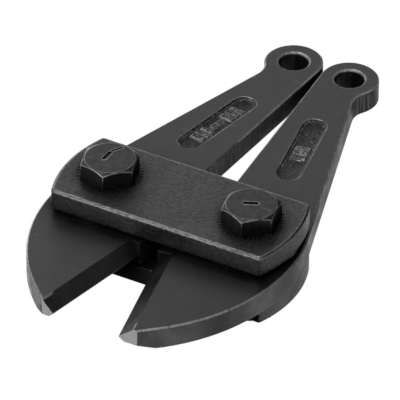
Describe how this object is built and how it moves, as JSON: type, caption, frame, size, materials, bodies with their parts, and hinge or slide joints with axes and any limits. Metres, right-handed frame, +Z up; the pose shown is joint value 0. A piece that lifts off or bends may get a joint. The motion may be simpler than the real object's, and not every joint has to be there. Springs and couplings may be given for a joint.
{
  "type": "bolt cutter head",
  "caption": "Cutter head of hand bolt cutters: forged jaws with ground edges swing on shoulder bolts between side plates, their knuckles in mesh; rear eyes take the handles.",
  "frame": {"origin": "middle of the head's footprint, level with the undersides of the nuts", "axes": "+X across the side plates from the left jaw to the right, +Y from the blade tips towards the handle eyes, +Z up through the bolt heads; at rest the jaws stand fully open"},
  "size_m": [0.0724, 0.1375, 0.0336],
  "materials": {
    "jaw_steel": "black oxide on forged steel, worn bright at the tips and edges",
    "plate_steel": "black oxide on rolled steel plate, worn at the edges",
    "bolt_steel": "black oxide on hardened steel"
  },
  "bodies": {
    "straps": {"top_plate": "plate_steel", "bottom_plate": "plate_steel", "left_pivot_bolt": "bolt_steel", "right_pivot_bolt": "bolt_steel", "left_nut": "bolt_steel", "right_nut": "bolt_steel"},
    "left_jaw": {"left_jaw": "jaw_steel"},
    "right_jaw": {"right_jaw": "jaw_steel"}
  },
  "joints": [
    {"name": "left_jaw_pivot", "type": "hinge", "parent": "straps", "child": "left_jaw", "pos_m": [-0.0216, -0.01995, 0.01755], "axis": [0, 0, 1], "range_deg": [0, 12]},
    {"name": "right_jaw_pivot", "type": "hinge", "parent": "straps", "child": "right_jaw", "pos_m": [0.0216, -0.01995, 0.01755], "axis": [0, 0, 1], "range_deg": [-12, 0]}
  ],
  "couplings": [
    {"joint": "right_jaw_pivot", "follows": "left_jaw_pivot", "ratio": -1}
  ]
}
